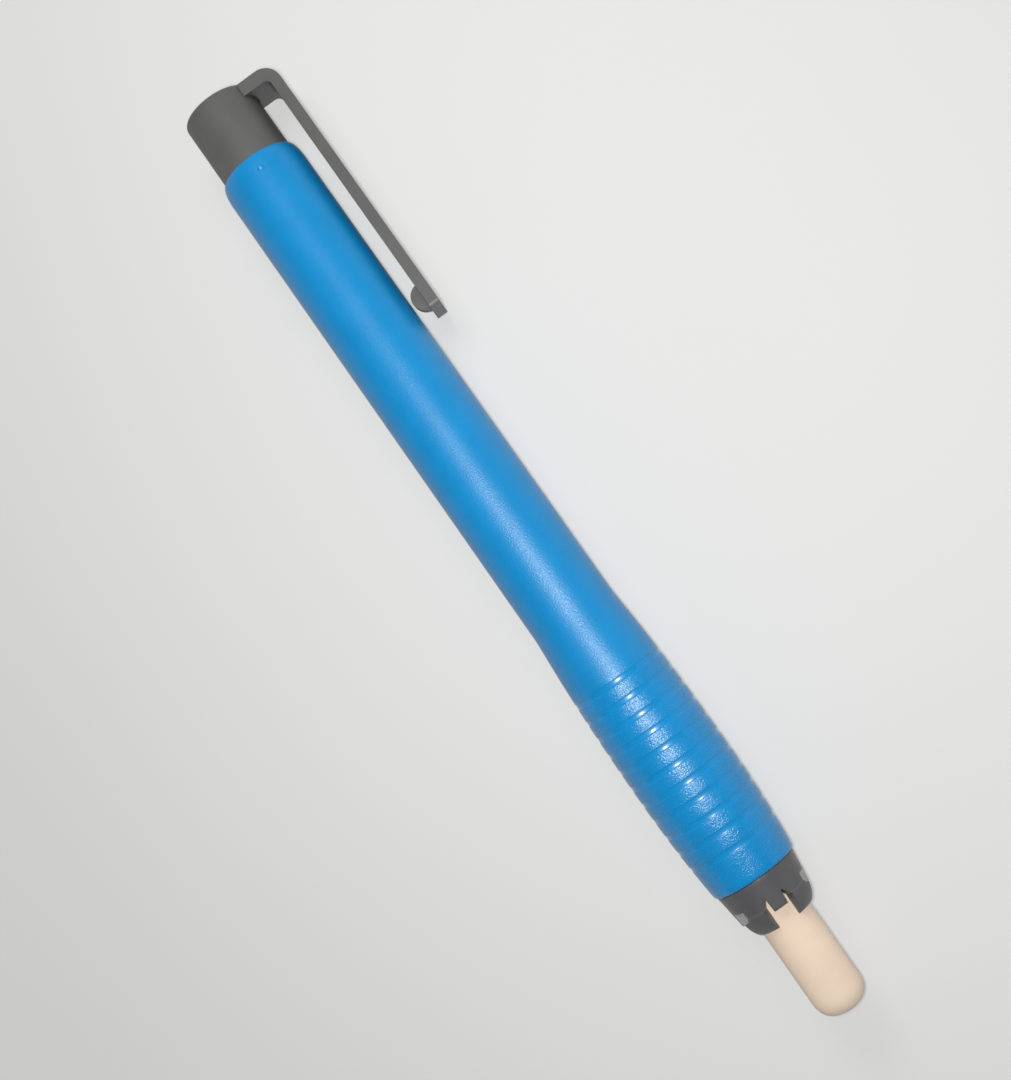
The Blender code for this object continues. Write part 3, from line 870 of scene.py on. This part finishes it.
def make_spring():
    """Coil spring, drawn at its rest length; on the real pen it is squashed as the button goes in."""
    spring = Shape()
    steps = SPRING_TURNS * COIL_STEPS
    rise = SPRING_FRONT - SPRING_REAR - 2 * WIRE_R
    slope = atan(rise / (2 * pi * SPRING_R * SPRING_TURNS))
    rings = []
    for i in range(steps + 1):
        turn = 2 * pi * i / COIL_STEPS
        z = SPRING_FRONT - WIRE_R - rise * i / steps
        row = []
        for a in spread(0, 2 * pi, WIRE_SIDES)[:-1]:
            out, up = WIRE_R * cos(a), WIRE_R * sin(a)
            r = SPRING_R + out
            along = up * sin(slope)
            x = r * cos(turn) - along * sin(turn)
            y = r * sin(turn) + along * cos(turn)
            row.append(spring.point(x, y, z + up * cos(slope)))
        rings.append(row)
    for one, two in zip(rings, rings[1:]):
        spring.band(one, two)
    spring.face(*rings[0])
    spring.face(*rings[-1])
    coil = piece("spring_coil", spring.mesh("spring_coil"), [spring_steel],
                 "barrel", "return_spring")
    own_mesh(coil)


make_clutch_ring()
make_feed_tube()
make_chuck()
make_spring()


# Floor, light and camera. The camera's place and aim are in the pen's millimetres, and its turn about
# the line of sight is measured from the pen's axis.

CAMERA_AT = PEN @ Vector((7.98, 190.36, -29.627))
LOOK_AT = PEN @ Vector((-1.497, 0.063, -49.016))
TILT_COS = 0.574214
TILT_SIN = 0.818705
LENS = 52.94
SENSOR = 36.0
NEAR_CLIP = 0.01
KEY_SIZE = 0.015
KEY_POWER = 0.33
KEY_ACROSS = 0.006
KEY_BACK = 0.002
FILL_SIZE = 0.12
FILL_POWER = 0.165
FILL_AT = Vector((-0.14, 0.045, 0.15))
FILL_AIM = Vector((-0.05, 0, 0))
SKY_LIGHT = 0.10
FLOOR_R = 2.0
FLOOR_BEND = 0.5
WALL_TOP = 0.95
WALL_SIDES = 96
FLOOR_SEEN = (0.76, 0.76, 0.75, 1)
NEAR_R = 0.07
NEAR_SHARE = 0.45
FAR_R = 0.24


def view_axes():
    """Right, down and forward directions of the camera, and the directions along and across the pen."""
    forward = (LOOK_AT - CAMERA_AT).normalized()
    along = (AXIS - forward * AXIS.dot(forward)).normalized()
    across = forward.cross(along)
    right = along * TILT_COS - across * TILT_SIN
    down = along * TILT_SIN + across * TILT_COS
    return right, down, forward, along, across


def aim(obj, right, down, forward, at):
    """Place a camera or lamp looking forward."""
    turn = Matrix((right, -down, -forward)).transposed().to_4x4()
    obj.matrix_world = Matrix.Translation(at) @ turn


def add_lamp(name, size, energy, at, target):
    """Round area lamp that faces a point."""
    lamp = bpy.data.lights.new(name, "AREA")
    lamp.shape = "DISK"
    lamp.size = size
    lamp.energy = energy
    obj = add_object(name, lamp)
    obj.visible_camera = False
    look = (target - at).normalized()
    side = (AXIS - look * AXIS.dot(look)).normalized()
    aim(obj, side, look.cross(side), look, at)
    return obj


def make_backdrop():
    """Round pale floor that curves up into a low wall.

    Seen directly or in a reflection, it shows its own tone far from the pen and the light on it near by.
    """
    rows = []
    for a in spread(0, pi / 2, ROUND_STEPS):
        rows.append((FLOOR_R + FLOOR_BEND * sin(a), FLOOR_BEND * (1 - cos(a))))
    rows.append((FLOOR_R + FLOOR_BEND, WALL_TOP))
    count = WALL_SIDES
    points, faces = [], []
    for radius, z in rows:
        points += [(radius * cos(a), radius * sin(a), z) for a in spread(0, 2 * pi, count)[:-1]]
    faces.append(range(count))
    for k in range(len(rows) - 1):
        for i in range(count):
            j = (i + 1) % count
            faces.append((k * count + j, k * count + i, (k + 1) * count + i, (k + 1) * count + j))
    mesh = bpy.data.meshes.new("floor")
    mesh.from_pydata(points, [], faces)
    mesh.shade_smooth()

    pale = surface("floor_pale", (0.69, 0.69, 0.68), 0.8, tone=0.01, tone_size=60.0)
    nodes, links = pale.node_tree.nodes, pale.node_tree.links

    def combine(operation, one, two):
        made = nodes.new("ShaderNodeMath")
        made.operation = operation
        links.new(one, made.inputs[0])
        links.new(two, made.inputs[1])
        return made.outputs["Value"]

    rays = nodes.new("ShaderNodeLightPath").outputs
    seen = combine("MAXIMUM", rays["Is Camera Ray"], rays["Is Glossy Ray"])
    seen = combine("MAXIMUM", seen, rays["Is Transmission Ray"])
    length = nodes.new("ShaderNodeVectorMath")
    length.operation = "LENGTH"
    links.new(nodes["Texture Coordinate"].outputs["Object"], length.inputs[0])
    share = nodes.new("ShaderNodeMapRange")
    share.interpolation_type = "SMOOTHSTEP"
    share.inputs["From Min"].default_value = NEAR_R
    share.inputs["From Max"].default_value = FAR_R
    share.inputs["To Min"].default_value = NEAR_SHARE
    share.inputs["To Max"].default_value = 1.0
    links.new(length.outputs["Value"], share.inputs["Value"])
    glow = nodes.new("ShaderNodeEmission")
    glow.inputs["Color"].default_value = FLOOR_SEEN
    mix = nodes.new("ShaderNodeMixShader")
    links.new(combine("MULTIPLY", seen, share.outputs["Result"]), mix.inputs["Fac"])
    links.new(nodes["Principled BSDF"].outputs["BSDF"], mix.inputs[1])
    links.new(glow.outputs["Emission"], mix.inputs[2])
    links.new(mix.outputs["Shader"], nodes["Material Output"].inputs["Surface"])
    mesh.materials.append(pale)
    floor = add_object("floor", mesh)
    floor.location = (LOOK_AT.x, LOOK_AT.y, 0)


def make_stage():
    """Camera, key lamp beside it, fill lamp, sky and backdrop."""
    scene = bpy.context.scene
    scene.view_settings.view_transform = "Standard"
    right, down, forward, along, across = view_axes()
    lens = bpy.data.cameras.new("camera")
    lens.lens = LENS
    lens.sensor_width = SENSOR
    lens.clip_start = NEAR_CLIP
    camera = add_object("camera", lens)
    aim(camera, right, down, forward, CAMERA_AT)
    scene.camera = camera

    add_lamp("key", KEY_SIZE, KEY_POWER, CAMERA_AT + across * KEY_ACROSS - along * KEY_BACK, LOOK_AT)
    fill = add_lamp("fill", FILL_SIZE, FILL_POWER, FILL_AT, FILL_AIM)
    fill.visible_glossy = False

    world = bpy.data.worlds.new("sky")
    world.use_nodes = True
    sky = world.node_tree.nodes["Background"]
    sky.inputs["Color"].default_value = (1, 1, 1, 1)
    sky.inputs["Strength"].default_value = SKY_LIGHT
    scene.world = world

    make_backdrop()


make_stage()

bpy.context.view_layer.update()
